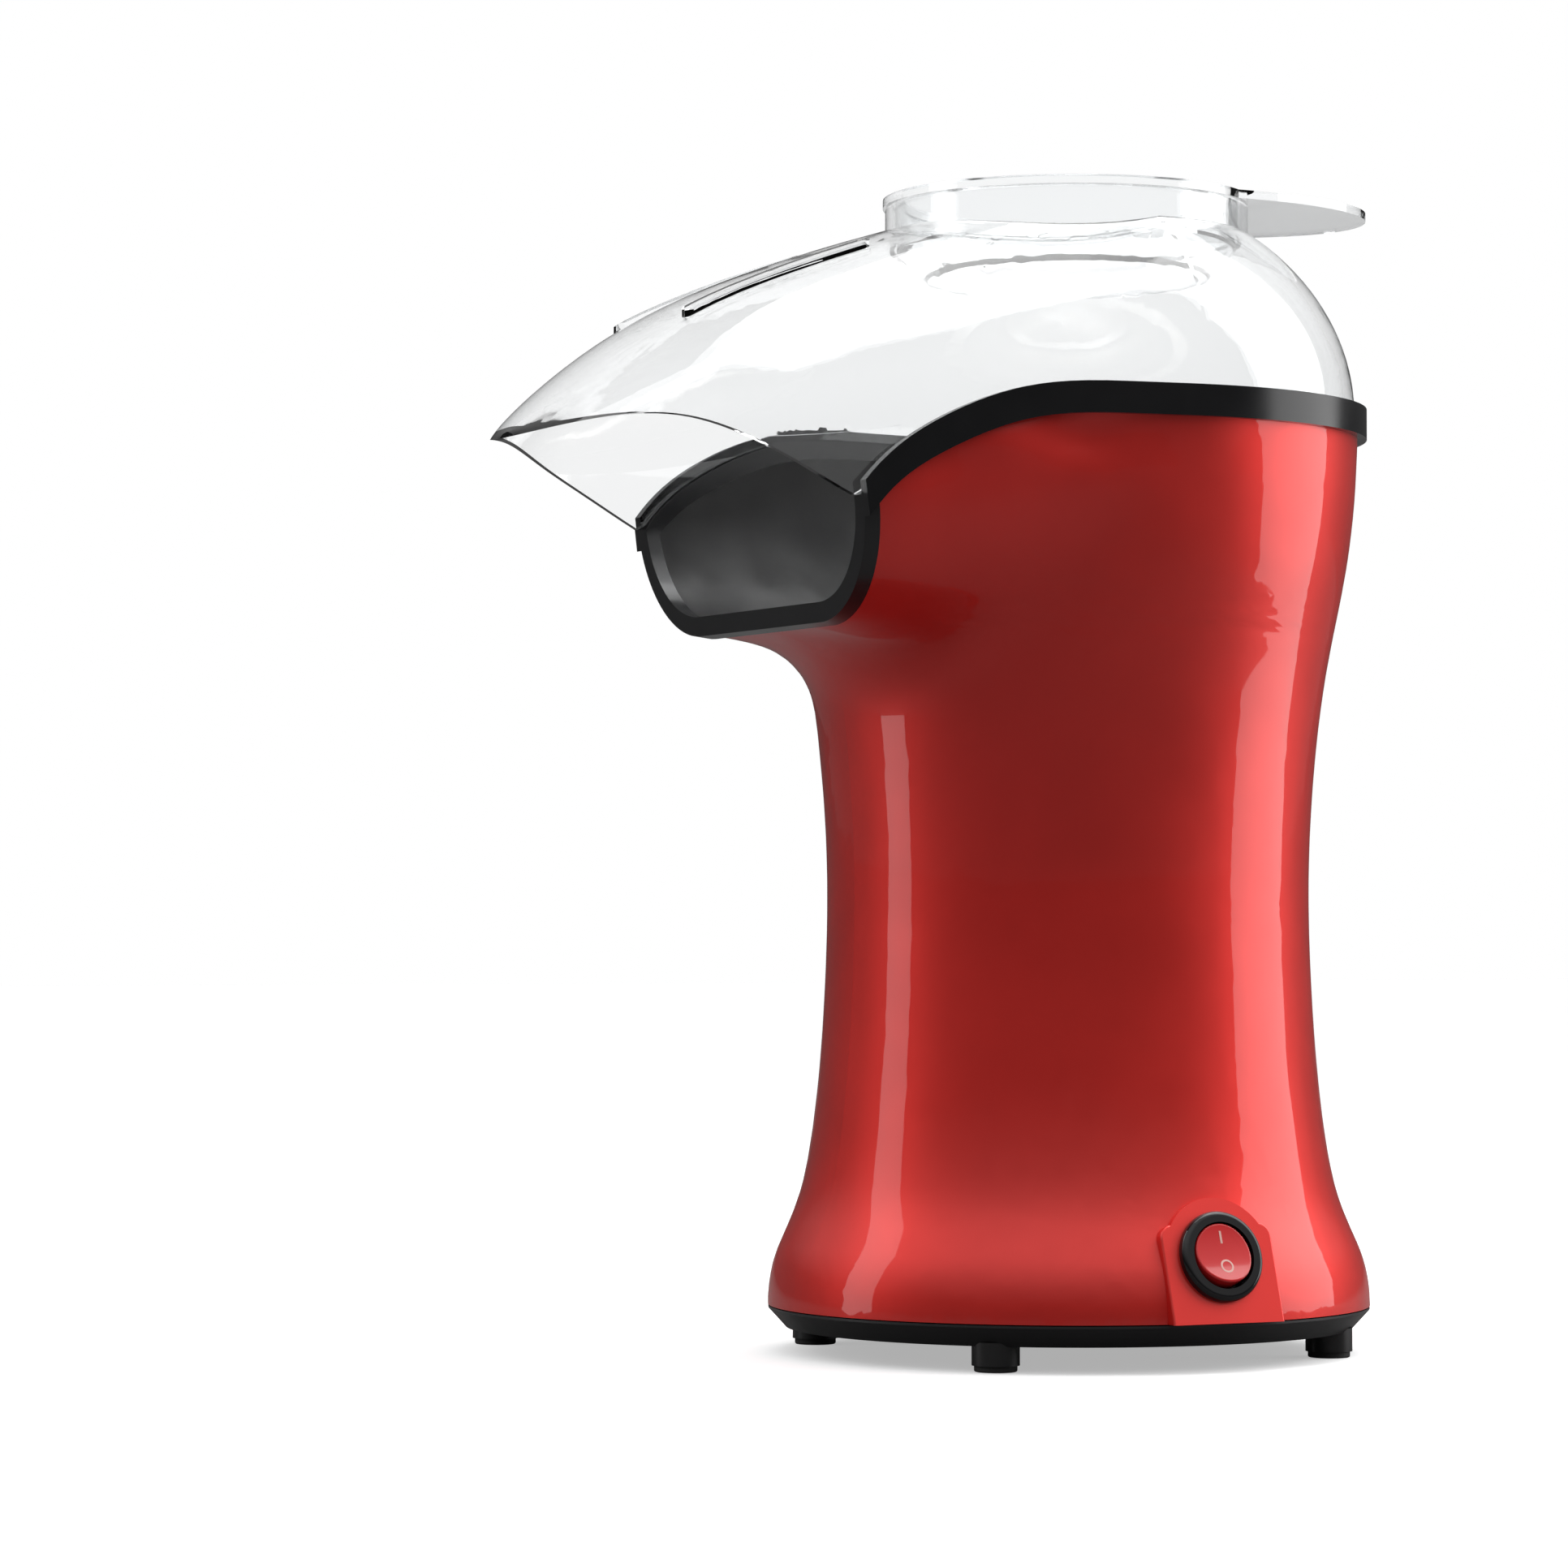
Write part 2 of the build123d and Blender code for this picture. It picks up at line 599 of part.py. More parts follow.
# measuring_cup
with BuildPart() as measuring_cup:
    with BuildSketch(facing) as cup_half:
        with BuildLine():
            bottom = TOP_HEIGHT - CUP_DEPTH
            Polyline(
                (0, bottom),
                (CUP_RADIUS - 8, bottom),
                (CUP_RADIUS, bottom + 8),
                (CUP_RADIUS, TOP_HEIGHT - CUP_RIM),
                (CUP_RIM_RADIUS, TOP_HEIGHT - CUP_RIM),
                (CUP_RIM_RADIUS, TOP_HEIGHT),
                (CUP_RADIUS - CUP_WALL, TOP_HEIGHT),
                (CUP_RADIUS - CUP_WALL, bottom + 8),
                (CUP_RADIUS - 8, bottom + CUP_WALL),
                (0, bottom + CUP_WALL),
                close=True,
            )
        make_face()
    revolve(cup_half.sketch, axis=upright)
    with BuildSketch(ground.offset(TOP_HEIGHT - CUP_RIM)) as ear:
        with BuildLine():
            root = sqrt(CUP_RIM_RADIUS**2 - CUP_EAR_HALF_WIDTH**2)
            EllipticalCenterArc(
                (0, root), CUP_EAR_HALF_WIDTH, CUP_EAR_REACH - root, arc_size=180
            )
            Line((-CUP_EAR_HALF_WIDTH, root), (CUP_EAR_HALF_WIDTH, root))
        make_face()
        Circle(CUP_RIM_RADIUS - 1, mode=Mode.SUBTRACT)
    extrude(ear.sketch, amount=CUP_RIM)

write(measuring_cup, "measuring_cup")

# base_plate
with BuildPart() as base_plate:
    with BuildSketch(facing) as plate_half:
        with BuildLine():
            Polyline(
                (0, PLATE_BOTTOM),
                (PLATE_BEVEL_RADIUS, PLATE_BOTTOM),
                (PLATE_RADIUS, HOUSING_FOOT - 0.9),
                (PLATE_RADIUS, HOUSING_FOOT - 0.3),
                (PLATE_RADIUS - WALL - 0.4, HOUSING_FOOT - 0.3),
                (PLATE_RADIUS - WALL - 0.4, PLATE_SKIRT_TOP),
                (PLATE_RADIUS - WALL - 2.4, PLATE_SKIRT_TOP),
                (PLATE_RADIUS - WALL - 2.4, PLATE_BOTTOM + PLATE_THICK),
                (0, PLATE_BOTTOM + PLATE_THICK),
                close=True,
            )
        make_face()
    revolve(plate_half.sketch, axis=upright)
    posts(FOOT_PITCH_RADIUS, CORNER_ANGLES, FOOT_RADIUS, PAD_HEIGHT, PLATE_BOTTOM + 1)
    posts(
        FOOT_PITCH_RADIUS, CORNER_ANGLES, PEG_RADIUS + 0.1,
        PAD_HEIGHT, PLATE_BOTTOM, mode=Mode.SUBTRACT,
    )
    posts(
        BASE_SCREW_PITCH_RADIUS, CORNER_ANGLES, BOSS_RADIUS + 1.5, PLATE_BOTTOM, HOUSING_FOOT - 0.3
    )
    posts(DUCT_LEG_RADIUS, LEG_ANGLES, BOSS_RADIUS + 1.5, PLATE_BOTTOM, HOUSING_FOOT - 0.3)
    for pitch_radius, angles in ((BASE_SCREW_PITCH_RADIUS, CORNER_ANGLES), (DUCT_LEG_RADIUS, LEG_ANGLES)):
        posts(pitch_radius, angles, SCREW_RADIUS + FIT, 0, 20, mode=Mode.SUBTRACT)
        posts(
            pitch_radius, angles, SCREW_HEAD_RADIUS + FIT,
            0, PLATE_BOTTOM + SCREW_HEAD + 0.6, mode=Mode.SUBTRACT,
        )
    with BuildSketch(ground.offset(PLATE_BOTTOM)) as vents:
        with PolarLocations(VENT_PITCH_RADIUS, VENT_COUNT):
            SlotOverall(VENT_LENGTH, VENT_WIDTH)
        with PolarLocations(VENT_PITCH_RADIUS / 2.4, VENT_COUNT // 3):
            SlotOverall(VENT_LENGTH / 2, VENT_WIDTH)
    extrude(vents.sketch, amount=PLATE_THICK, mode=Mode.SUBTRACT)

write(base_plate, "base_plate")

# foot_pads
with BuildPart() as foot_pads:
    posts(FOOT_PITCH_RADIUS, CORNER_ANGLES, FOOT_RADIUS - 0.6, 0, PAD_HEIGHT)
    fillet(foot_pads.edges().group_by(Axis.Z)[0], 0.5)
    posts(FOOT_PITCH_RADIUS, CORNER_ANGLES, PEG_RADIUS, PAD_HEIGHT, PLATE_BOTTOM - 1)

write(foot_pads, "foot_pads")

# base_screws
def screws(pitch_radius, angles, end):
    """Pan-head screws pushed up from the base plate's pockets."""
    seat = PLATE_BOTTOM + SCREW_HEAD + 0.6
    posts(pitch_radius, angles, SCREW_RADIUS, seat, end)
    posts(pitch_radius, angles, SCREW_HEAD_RADIUS, seat - SCREW_HEAD, seat)
    with BuildSketch(ground.offset(seat - SCREW_HEAD)) as recess:
        for angle in angles:
            with PolarLocations(pitch_radius, 1, start_angle=angle):
                Rectangle(3.2, 0.8)
                Rectangle(0.8, 3.2)
    extrude(recess.sketch, amount=1, mode=Mode.SUBTRACT)


with BuildPart() as base_screws:
    screws(BASE_SCREW_PITCH_RADIUS, CORNER_ANGLES, SCREW_END)

write(base_screws, "base_screws")

# duct_screws
with BuildPart() as duct_screws:
    screws(DUCT_LEG_RADIUS, LEG_ANGLES, SCREW_END)

write(duct_screws, "duct_screws")

# switch_bezel
pivot_plane = switch_plane.offset(-PIVOT_DEPTH)
with BuildPart() as switch_bezel:
    with BuildSketch(switch_plane) as flange:
        Circle(BEZEL_RADIUS)
    extrude(flange.sketch, amount=BEZEL_PROUD)
    fillet(switch_bezel.edges().sort_by(Axis.X)[-1], 1.4)
    with BuildSketch(switch_plane) as barrel:
        Circle(SWITCH_BODY_RADIUS)
    extrude(barrel.sketch, amount=-SWITCH_DEPTH)
    with BuildSketch(switch_plane.offset(BEZEL_PROUD)) as well:
        Circle(ROCKER_RADIUS + ROCKER_GAP)
    extrude(well.sketch, amount=-BEZEL_PROUD - 7, mode=Mode.SUBTRACT)
    with BuildSketch(Plane(pivot_plane.origin, x_dir=(0, 0, 1), z_dir=(0, 1, 0))) as bearing:
        Circle(PIVOT_RADIUS + PIVOT_FIT)
    extrude(bearing.sketch, amount=ROCKER_RADIUS + 1.4, both=True, mode=Mode.SUBTRACT)

write(switch_bezel, "switch_bezel")

# switch_rocker
rocker_tilt = radians(SWITCH_TILT + ROCKER_ANGLE)
rocker_plane = Plane(
    pivot_plane.origin, x_dir=(0, 1, 0), z_dir=(cos(rocker_tilt), 0, sin(rocker_tilt))
)
with BuildPart() as switch_rocker:
    with BuildSketch(rocker_plane.offset(-2.0)) as disc_face:
        Circle(ROCKER_RADIUS)
    extrude(disc_face.sketch, amount=6.4)
    side_plane = Plane(rocker_plane.origin, x_dir=rocker_plane.y_dir, z_dir=rocker_plane.x_dir)
    with BuildSketch(side_plane) as dish:
        with BuildLine():
            past = ROCKER_RADIUS + 1.2
            ThreePointArc((-past, 4.4), (0, 3.2), (past, 4.4))
            Polyline((past, 4.4), (past, 9), (-past, 9), (-past, 4.4))
        make_face()
    extrude(dish.sketch, amount=10, both=True, mode=Mode.SUBTRACT)
    fillet(switch_rocker.edges().sort_by(Axis.X)[-2:], 0.5)
    with BuildSketch(Plane(pivot_plane.origin, x_dir=(0, 0, 1), z_dir=(0, 1, 0))) as pivot:
        Circle(PIVOT_RADIUS)
    extrude(pivot.sketch, amount=ROCKER_RADIUS + 1.2, both=True)

write(switch_rocker, "switch_rocker")

# switch_terminals
with BuildPart() as switch_terminals:
    with BuildSketch(switch_plane.offset(-SWITCH_DEPTH)) as blades:
        with GridLocations(0, 8, 1, 2):
            Rectangle(6.3, 0.8)
    extrude(blades.sketch, amount=-8)

write(switch_terminals, "switch_terminals")

# cord_gland
GLAND_SLOPE = radians(SWITCH_TILT)
gland_seat = Plane(
    (0, AXIS_Y + body_radius(GLAND_HEIGHT) + 0.5, GLAND_HEIGHT),
    x_dir=(-1, 0, 0),
    z_dir=(0, cos(GLAND_SLOPE), sin(GLAND_SLOPE)),
)
with BuildPart() as cord_gland:
    with BuildSketch(rear.offset(GLAND_START + 8)) as gland_flange:
        Circle(GLAND_RADIUS + 2)
    extrude(gland_flange.sketch, amount=GLAND_END - GLAND_START - 8)
    with BuildSketch(gland_seat) as seat_face:
        Rectangle(40, 40)
    extrude(seat_face.sketch, amount=-20, mode=Mode.SUBTRACT)
    fillet(cord_gland.edges().sort_by(Axis.Y)[-1], 1)
    with BuildSketch(rear.offset(GLAND_START)) as neck:
        Circle(GLAND_RADIUS)
    extrude(neck.sketch, amount=GLAND_END - 2 - GLAND_START)
    with BuildSketch(rear.offset(GLAND_START)) as stop:
        Circle(GLAND_RADIUS + 1.5)
    extrude(stop.sketch, amount=6)
    with BuildSketch(rear.offset(GLAND_START)) as bore:
        Circle(CORD_RADIUS)
    extrude(bore.sketch, amount=GLAND_END - GLAND_START, mode=Mode.SUBTRACT)

write(cord_gland, "cord_gland")

# popping_chamber
with BuildPart() as popping_chamber:
    with BuildSketch(facing) as chamber_half:
        with BuildLine():
            Polyline(
                (0, CHAMBER_BOTTOM + 5),
                (14, CHAMBER_BOTTOM + 3),
                (CHAMBER_RADIUS - 10, CHAMBER_BOTTOM),
                (CHAMBER_RADIUS, CHAMBER_BOTTOM + 5),
                (CHAMBER_RADIUS, CHAMBER_RIM),
                (CHAMBER_FLANGE, CHAMBER_RIM),
                (CHAMBER_FLANGE, CHAMBER_RIM + CHAMBER_WALL),
                (CHAMBER_RADIUS - CHAMBER_WALL, CHAMBER_RIM + CHAMBER_WALL),
                (CHAMBER_RADIUS - CHAMBER_WALL, CHAMBER_BOTTOM + 5.5),
                (CHAMBER_RADIUS - 10, CHAMBER_BOTTOM + CHAMBER_WALL),
                (14, CHAMBER_BOTTOM + 3 + CHAMBER_WALL),
                (0, CHAMBER_BOTTOM + 5 + CHAMBER_WALL),
                close=True,
            )
        make_face()
    revolve(chamber_half.sketch, axis=upright)
    middle_height = (LOUVRE_LOW + LOUVRE_HIGH) / 2
    with Locations((0, AXIS_Y, middle_height)):
        with PolarLocations(CHAMBER_RADIUS, LOUVRE_COUNT):
            Box(6, 1.5, LOUVRE_HIGH - LOUVRE_LOW, rotation=(25, 0, 0), mode=Mode.SUBTRACT)
    posts(
        FLANGE_SCREW_PITCH_RADIUS, CORNER_ANGLES, FLANGE_SCREW_RADIUS + FIT,
        CHAMBER_RIM - 1, CHAMBER_RIM + 3, mode=Mode.SUBTRACT,
    )

write(popping_chamber, "popping_chamber")

# chamber_screws
with BuildPart() as chamber_screws:
    posts(
        FLANGE_SCREW_PITCH_RADIUS, CORNER_ANGLES, FLANGE_SCREW_RADIUS,
        LINER_FLOOR - 5, CHAMBER_RIM + CHAMBER_WALL,
    )
    posts(
        FLANGE_SCREW_PITCH_RADIUS, CORNER_ANGLES, FLANGE_SCREW_RADIUS * 1.8,
        CHAMBER_RIM + CHAMBER_WALL, CHAMBER_RIM + CHAMBER_WALL + 1.4,
    )

write(chamber_screws, "chamber_screws")

# air_duct
with BuildPart() as air_duct:
    with BuildSketch(facing) as duct_half:
        with BuildLine():
            flare_low = DUCT_BOTTOM + 26
            flare_high = DUCT_BOTTOM + 40
            Polyline(
                (FAN_DUCT_RADIUS, DUCT_BOTTOM),
                (FAN_DUCT_RADIUS, flare_low),
                (HOT_DUCT_RADIUS - DUCT_WALL, flare_high),
                (HOT_DUCT_RADIUS - DUCT_WALL, DUCT_TOP - DUCT_WALL),
                (CHAMBER_RADIUS + 0.2, DUCT_TOP - DUCT_WALL),
                (CHAMBER_RADIUS + 0.2, DUCT_TOP),
                (HOT_DUCT_RADIUS, DUCT_TOP),
                (HOT_DUCT_RADIUS, flare_high - 0.6),
                (FAN_DUCT_RADIUS + DUCT_WALL, flare_low - 0.6),
                (FAN_DUCT_RADIUS + DUCT_WALL, DUCT_BOTTOM + DUCT_WALL),
                (DUCT_LEG_RADIUS + BOSS_RADIUS + 1, DUCT_BOTTOM + DUCT_WALL),
                (DUCT_LEG_RADIUS + BOSS_RADIUS + 1, DUCT_BOTTOM),
                close=True,
            )
        make_face()
    revolve(duct_half.sketch, axis=upright)
    posts(DUCT_LEG_RADIUS, LEG_ANGLES, BOSS_RADIUS, HOUSING_FOOT - 0.3, DUCT_BOTTOM + 0.8)
    posts(DUCT_LEG_RADIUS, LEG_ANGLES, SCREW_RADIUS, 0, SCREW_END + 1, mode=Mode.SUBTRACT)

write(air_duct, "air_duct")

# motor_plate
with BuildPart() as motor_plate:
    with BuildSketch(ground.offset(MOTOR_TOP)) as spokes:
        Circle(DUCT_LEG_RADIUS - BOSS_RADIUS - 0.4)
        Circle(FAN_DUCT_RADIUS - 3, mode=Mode.SUBTRACT)
        Circle(MOTOR_RADIUS + 2)
        with PolarLocations((FAN_DUCT_RADIUS + MOTOR_RADIUS - 1) / 2, 5):
            Rectangle(FAN_DUCT_RADIUS - MOTOR_RADIUS + 1, 5)
        with PolarLocations(MOTOR_SCREW_PITCH_RADIUS, 2):
            Circle(MOTOR_SCREW_RADIUS + FIT, mode=Mode.SUBTRACT)
        Circle(3.4, mode=Mode.SUBTRACT)
    extrude(spokes.sketch, amount=DUCT_BOTTOM - MOTOR_TOP)

write(motor_plate, "motor_plate")

# motor_can
with BuildPart() as motor_can:
    disc(MOTOR_RADIUS, MOTOR_LOW, MOTOR_TOP)
    disc(MOTOR_RADIUS - MOTOR_WALL, MOTOR_LOW, MOTOR_TOP - 1.5, mode=Mode.SUBTRACT)
    disc(3.2, MOTOR_TOP - 4, MOTOR_TOP + 1.2)
    disc(SHAFT_RADIUS + SHAFT_FIT, MOTOR_LOW, MOTOR_TOP + 5, mode=Mode.SUBTRACT)
    posts(
        MOTOR_SCREW_PITCH_RADIUS, [0, 180], MOTOR_SCREW_RADIUS,
        MOTOR_TOP - 3, MOTOR_TOP + 1, mode=Mode.SUBTRACT,
    )

write(motor_can, "motor_can")

# motor_screws
with BuildPart() as motor_screws:
    posts(MOTOR_SCREW_PITCH_RADIUS, [0, 180], MOTOR_SCREW_RADIUS, MOTOR_TOP - 3, DUCT_BOTTOM)
    posts(
        MOTOR_SCREW_PITCH_RADIUS, [0, 180], MOTOR_SCREW_RADIUS * 1.8, DUCT_BOTTOM, DUCT_BOTTOM + 1.2
    )

write(motor_screws, "motor_screws")

# motor_cap
with BuildPart() as motor_cap:
    disc(MOTOR_RADIUS, MOTOR_LOW - 2, MOTOR_LOW)
    disc(MOTOR_RADIUS - MOTOR_WALL - 0.1, MOTOR_LOW, MOTOR_LOW + 2)
    disc(SHAFT_RADIUS + SHAFT_FIT, 0, MOTOR_TOP, mode=Mode.SUBTRACT)

write(motor_cap, "motor_cap")

# motor_magnets
with BuildPart() as motor_magnets:
    with BuildSketch(ground.offset(MOTOR_LOW + 6)) as magnet_faces:
        Circle(MOTOR_RADIUS - MOTOR_WALL - 0.1)
        Circle(ARMATURE_RADIUS + 0.5, mode=Mode.SUBTRACT)
        Rectangle(8, 3 * MOTOR_RADIUS, mode=Mode.SUBTRACT)
    extrude(magnet_faces.sketch, amount=24)

write(motor_magnets, "motor_magnets")

# armature
with BuildPart() as armature:
    with BuildSketch(ground.offset(MOTOR_LOW + 8)) as poles:
        Circle(ARMATURE_RADIUS)
        Circle(SHAFT_RADIUS, mode=Mode.SUBTRACT)
        with PolarLocations(ARMATURE_RADIUS - 3, 5):
            Rectangle(7, 2, mode=Mode.SUBTRACT)
    extrude(poles.sketch, amount=20)
    disc(3.5, MOTOR_LOW + 3, MOTOR_LOW + 8)
    disc(SHAFT_RADIUS, MOTOR_LOW, MOTOR_TOP, mode=Mode.SUBTRACT)

write(armature, "armature")

# motor_shaft
with BuildPart() as motor_shaft:
    disc(SHAFT_RADIUS, MOTOR_LOW - 2.5, DUCT_BOTTOM + 16)

write(motor_shaft, "motor_shaft")

# impeller
with BuildPart() as impeller:
    disc(FAN_HUB_RADIUS, DUCT_BOTTOM + 3, DUCT_BOTTOM + 15)
    fillet(impeller.edges().group_by(Axis.Z)[-1], 2)
    blade_length = FAN_RADIUS - FAN_HUB_RADIUS + 1
    with Locations((0, AXIS_Y, DUCT_BOTTOM + 9)):
        with PolarLocations(FAN_RADIUS - blade_length / 2, BLADES):
            Box(blade_length, 16, 1.2, rotation=(35, 0, 0))
    disc(SHAFT_RADIUS, DUCT_BOTTOM, DUCT_BOTTOM + 20, mode=Mode.SUBTRACT)

write(impeller, "impeller")

# rectifier_board
with BuildPart() as rectifier_board:
    with BuildSketch(ground.offset(BOARD_TOP - BOARD_THICK)) as board:
        RectangleRounded(26, 26, 2)
    extrude(board.sketch, amount=BOARD_THICK)
    posts(9, [90, 270], 0.9, BOARD_TOP, MOTOR_LOW - 2)

write(rectifier_board, "rectifier_board")

# rectifier_diodes
with BuildPart() as rectifier_diodes:
    with Locations((0, AXIS_Y, BOARD_TOP - BOARD_THICK - DIODE_RADIUS)):
        with GridLocations(9, 10, 2, 2):
            Cylinder(DIODE_RADIUS, 5, rotation=(0, 90, 0))

write(rectifier_diodes, "rectifier_diodes")

# heater_coil
def coil(radius, wire):
    """Two turns of resistance wire round the body's axis."""
    with BuildLine():
        path = Helix(pitch=6, height=12, radius=radius, center=(0, AXIS_Y, MICA_LOW + 2.5))
    with BuildSketch(Plane(path @ 0, z_dir=path % 0)) as section:
        Circle(wire)
    sweep(section.sketch, path=path, is_frenet=True)


with BuildPart() as heater_coil:
    for radius in COIL_RADII:
        coil(radius, COIL_WIRE)

write(heater_coil, "heater_coil")

# mica_frame
with BuildPart() as mica_frame:
    with BuildSketch(ground.offset(MICA_LOW)) as boards:
        Rectangle(2 * MICA_HALF_WIDTH, MICA_THICK)
        Rectangle(MICA_THICK, 2 * MICA_HALF_WIDTH)
    extrude(boards.sketch, amount=MICA_HIGH - MICA_LOW)
    with BuildPart(mode=Mode.PRIVATE) as threading:
        for radius in COIL_RADII:
            coil(radius, COIL_WIRE + 0.3)
    add(threading.part, mode=Mode.SUBTRACT)

write(mica_frame, "mica_frame")

# thermal_fuse
with BuildPart() as thermal_fuse:
    with Locations((0, AXIS_Y - 22, MICA_HIGH + 2)):
        Cylinder(2, 10, rotation=(90, 0, 0))

write(thermal_fuse, "thermal_fuse")

# thermostat
with BuildPart() as thermostat:
    thermostat_plane = Plane((0, AXIS_Y, THERMOSTAT_HEIGHT), x_dir=(-1, 0, 0), z_dir=(0, 1, 0))
    with BuildSketch(thermostat_plane.offset(CHAMBER_RADIUS - 3)) as thermostat_disc:
        Circle(8)
    extrude(thermostat_disc.sketch, amount=8.5)
    with BuildSketch(thermostat_plane.offset(CHAMBER_RADIUS + 5)) as tabs:
        with GridLocations(9, 0, 2, 1):
            Rectangle(0.8, 5)
    extrude(tabs.sketch, amount=6)
    disc(CHAMBER_RADIUS + 0.1, 0, TOP_HEIGHT, mode=Mode.SUBTRACT)

write(thermostat, "thermostat")
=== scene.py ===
import json
import math

import bpy
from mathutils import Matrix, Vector


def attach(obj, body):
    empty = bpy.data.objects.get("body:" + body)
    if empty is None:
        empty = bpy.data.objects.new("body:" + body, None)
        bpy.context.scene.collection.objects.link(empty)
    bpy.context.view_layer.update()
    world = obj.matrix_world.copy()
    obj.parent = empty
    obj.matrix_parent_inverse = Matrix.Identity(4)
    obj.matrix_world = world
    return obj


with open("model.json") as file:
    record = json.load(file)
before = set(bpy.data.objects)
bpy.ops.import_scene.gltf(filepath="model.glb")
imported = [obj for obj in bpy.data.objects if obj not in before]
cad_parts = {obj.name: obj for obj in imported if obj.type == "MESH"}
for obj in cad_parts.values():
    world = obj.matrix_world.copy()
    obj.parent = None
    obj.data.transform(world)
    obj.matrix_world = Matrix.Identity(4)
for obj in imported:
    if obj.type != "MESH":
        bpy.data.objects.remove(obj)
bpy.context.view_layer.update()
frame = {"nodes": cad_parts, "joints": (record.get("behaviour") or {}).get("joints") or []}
nodes = frame["nodes"]
print("frame loaded with", len(nodes), "CAD nodes")


# small helpers for picking and applying modifiers

def deselectAll():
    if bpy.context.object and bpy.context.object.mode != "OBJECT":
        bpy.ops.object.mode_set(mode="OBJECT")
    bpy.ops.object.select_all(action="DESELECT")


def makeActive(piece):
    deselectAll()
    piece.select_set(True)
    bpy.context.view_layer.objects.active = piece


def applyModifiers(piece):
    makeActive(piece)
    for modifier in list(piece.modifiers):
        bpy.ops.object.modifier_apply(modifier=modifier.name)


# what every finish shares
finishHabits = {
    "low": 0.35,           # the part of a pattern that is spread over a colour or a gloss
    "high": 0.65,
    "smudgeLow": 0.45,     # smudges on clear pieces are fewer
    "smudgeHigh": 0.75,
    "coatGloss": 0.03,
    "waveWander": 0.6,
}


def startFinish(name):
    material = bpy.data.materials.new(name)
    material.use_nodes = True
    tree = material.node_tree
    tree.nodes.clear()
    output = tree.nodes.new("ShaderNodeOutputMaterial")
    shader = tree.nodes.new("ShaderNodeBsdfPrincipled")
    tree.links.new(shader.outputs["BSDF"], output.inputs["Surface"])
    return material, tree, shader


def pattern(tree, scale, stretch=(1, 1, 1), detail=3.0, kind="noise"):
    place = tree.nodes.new("ShaderNodeTexCoord")
    mapping = tree.nodes.new("ShaderNodeMapping")
    mapping.inputs["Scale"].default_value = stretch
    tree.links.new(place.outputs["Object"], mapping.inputs["Vector"])
    if kind == "waves":
        texture = tree.nodes.new("ShaderNodeTexWave")
        texture.bands_direction = "Z"
        texture.inputs["Distortion"].default_value = finishHabits["waveWander"]
    else:
        texture = tree.nodes.new("ShaderNodeTexNoise")
    texture.inputs["Scale"].default_value = scale
    texture.inputs["Detail"].default_value = detail
    tree.links.new(mapping.outputs["Vector"], texture.inputs["Vector"])
    return texture.outputs["Fac"]


def spread(tree, source, low, high, target,
           fromLow=finishHabits["low"], fromHigh=finishHabits["high"]):
    ranging = tree.nodes.new("ShaderNodeMapRange")
    ranging.inputs["From Min"].default_value = fromLow
    ranging.inputs["From Max"].default_value = fromHigh
    ranging.inputs["To Min"].default_value = low
    ranging.inputs["To Max"].default_value = high
    tree.links.new(source, ranging.inputs["Value"])
    tree.links.new(ranging.outputs["Result"], target)


def twoColours(tree, source, first, second, target,
               fromLow=finishHabits["low"], fromHigh=finishHabits["high"]):
    ramp = tree.nodes.new("ShaderNodeValToRGB")
    ramp.color_ramp.elements[0].position = fromLow
    ramp.color_ramp.elements[1].position = fromHigh
    ramp.color_ramp.elements[0].color = (*first, 1)
    ramp.color_ramp.elements[1].color = (*second, 1)
    tree.links.new(source, ramp.inputs["Fac"])
    tree.links.new(ramp.outputs["Color"], target)


# bumps laid one over another, each a pattern and its depth
def relief(tree, shader, sources):
    previous = None
    for source, depth in sources:
        bump = tree.nodes.new("ShaderNodeBump")
        bump.inputs["Strength"].default_value = 1.0
        bump.inputs["Distance"].default_value = depth
        tree.links.new(source, bump.inputs["Height"])
        if previous:
            tree.links.new(previous, bump.inputs["Normal"])
        previous = bump.outputs["Normal"]
    tree.links.new(previous, shader.inputs["Normal"])


# moulded plastic, rubber and paint share this build
def moulded(name, look):
    material, tree, shader = startFinish(name)
    cloudy = pattern(tree, look.get("cloudScale", 18.0), detail=4.0)
    twoColours(tree, cloudy, look["colour"], look["shade"], shader.inputs["Base Color"])
    smudge = pattern(tree, look.get("smudgeScale", 45.0), detail=5.0)
    spread(tree, smudge, look["gloss"][0], look["gloss"][1], shader.inputs["Roughness"])
    grain = pattern(tree, look.get("grainScale", 900.0), detail=2.0)
    ripple = pattern(tree, look.get("rippleScale", 60.0), detail=1.0)
    relief(tree, shader, [(ripple, look.get("ripple", 0.0)), (grain, look["grain"])])
    shader.inputs["IOR"].default_value = look.get("bend", 1.5)
    shader.inputs["Metallic"].default_value = look.get("flake", 0.0)
    shader.inputs["Coat Weight"].default_value = look.get("coat", 0.0)
    shader.inputs["Coat Roughness"].default_value = finishHabits["coatGloss"]
    return material


# turned, drawn and plated metal
def metal(name, look):
    material, tree, shader = startFinish(name)
    cloudy = pattern(tree, look.get("cloudScale", 60.0), detail=5.0)
    twoColours(tree, cloudy, look["colour"], look["shade"], shader.inputs["Base Color"])
    lines = pattern(tree, look.get("lineScale", 220.0), look.get("stretch", (1, 1, 12)), 4.0)
    spread(tree, lines, look["gloss"][0], look["gloss"][1], shader.inputs["Roughness"])
    relief(tree, shader, [(lines, look["grain"])])
    shader.inputs["Metallic"].default_value = 1.0
    return material


